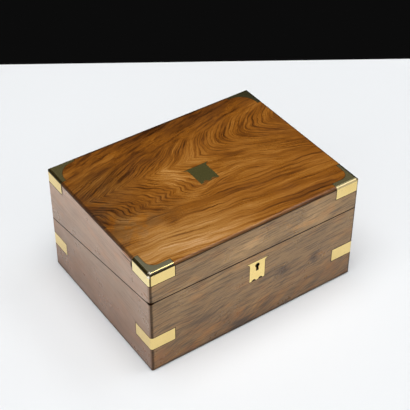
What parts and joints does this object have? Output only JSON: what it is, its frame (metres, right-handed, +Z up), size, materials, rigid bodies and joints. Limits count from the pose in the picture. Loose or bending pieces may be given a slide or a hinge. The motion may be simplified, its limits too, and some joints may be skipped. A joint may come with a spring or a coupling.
{
  "type": "writing box",
  "caption": "Closed wooden travel writing box with brass corner caps, straps, escutcheon and lid plate; it opens flat into a leather-lined writing slope.",
  "frame": {"origin": "centre of the underside, on the baize that the closed box stands on", "axes": "+X along the lock side, to the right of someone who faces the lock; -Y is the lock side; +Z up"},
  "size_m": [0.305, 0.2358, 0.158],
  "materials": {
    "walnut": "satin french polish",
    "inner_wood": "waxed",
    "brass_mounts": "satin, lightly worn",
    "brass_fittings": "satin",
    "steel": "filed",
    "leather": "satin, tooled border",
    "baize": "matt",
    "glass": "polished"
  },
  "bodies": {
    "base": {"base_front": "walnut", "base_back": "walnut", "base_left": "walnut", "base_right": "walnut", "base_bottom": "inner_wood", "base_felt": "baize", "strap_front_left": "brass_mounts", "strap_front_right": "brass_mounts", "strap_back_left": "brass_mounts", "strap_back_right": "brass_mounts", "escutcheon": "brass_mounts", "hinge_base_leaf_left": "brass_fittings", "hinge_base_leaf_right": "brass_fittings", "hinge_pin_left": "steel", "hinge_pin_right": "steel", "hinge_screws_base": "brass_fittings", "lock_case": "brass_fittings", "lock_cover": "brass_fittings", "lock_spring": "steel", "lock_drill_pin": "steel", "lock_selvedge": "brass_fittings", "lock_screws": "brass_fittings", "base_fold_rail": "inner_wood", "base_ledge_left": "inner_wood", "base_ledge_right": "inner_wood", "pen_divider": "inner_wood", "partition_left": "inner_wood", "partition_right": "inner_wood", "tray_rests": "inner_wood", "pen_tray": "inner_wood", "inkwell_blocks": "inner_wood", "inkwell_left": "glass", "inkwell_right": "glass", "inkwell_cap_left": "brass_fittings", "inkwell_cap_right": "brass_fittings"},
    "lid": {"lid_top": "walnut", "lid_front": "walnut", "lid_back": "walnut", "lid_left": "walnut", "lid_right": "walnut", "cap_front_left": "brass_mounts", "cap_front_right": "brass_mounts", "cap_back_left": "brass_mounts", "cap_back_right": "brass_mounts", "cartouche": "brass_mounts", "hinge_lid_leaf_left": "brass_fittings", "hinge_lid_leaf_right": "brass_fittings", "hinge_screws_lid": "brass_fittings", "link_plate": "brass_fittings", "link_screws": "brass_fittings", "lid_fold_rail": "inner_wood", "lid_ledge_left": "inner_wood", "lid_ledge_right": "inner_wood", "lid_flap_catch": "inner_wood"},
    "base_flap": {"base_flap": "inner_wood", "base_leather": "leather"},
    "lid_flap": {"lid_flap": "inner_wood", "lid_leather": "leather"},
    "lock_bolt": {"lock_bolt": "steel"}
  },
  "joints": [
    {"name": "lid_hinge", "type": "hinge", "parent": "base", "child": "lid", "pos_m": [0, 0.1171, 0.079], "axis": [-1, 0, 0], "range_deg": [0, 180]},
    {"name": "base_flap_hinge", "type": "hinge", "parent": "base", "child": "base_flap", "pos_m": [0, 0.0955, 0.08201], "axis": [-1, 0, 0], "range_deg": [0, 45]},
    {"name": "lid_flap_hinge", "type": "hinge", "parent": "lid", "child": "lid_flap", "pos_m": [0, 0.0955, 0.08201], "axis": [1, 0, 0], "range_deg": [0, 45]},
    {"name": "lock_bolt_slide", "type": "slide", "parent": "base", "child": "lock_bolt", "axis": [-1, 0, 0], "range_m": [0, 0.004]}
  ],
  "couplings": [
    {"joint": "base_flap_hinge", "follows": "lid_hinge", "ratio": 0.25},
    {"joint": "lid_flap_hinge", "follows": "lid_hinge", "ratio": 0.25}
  ]
}
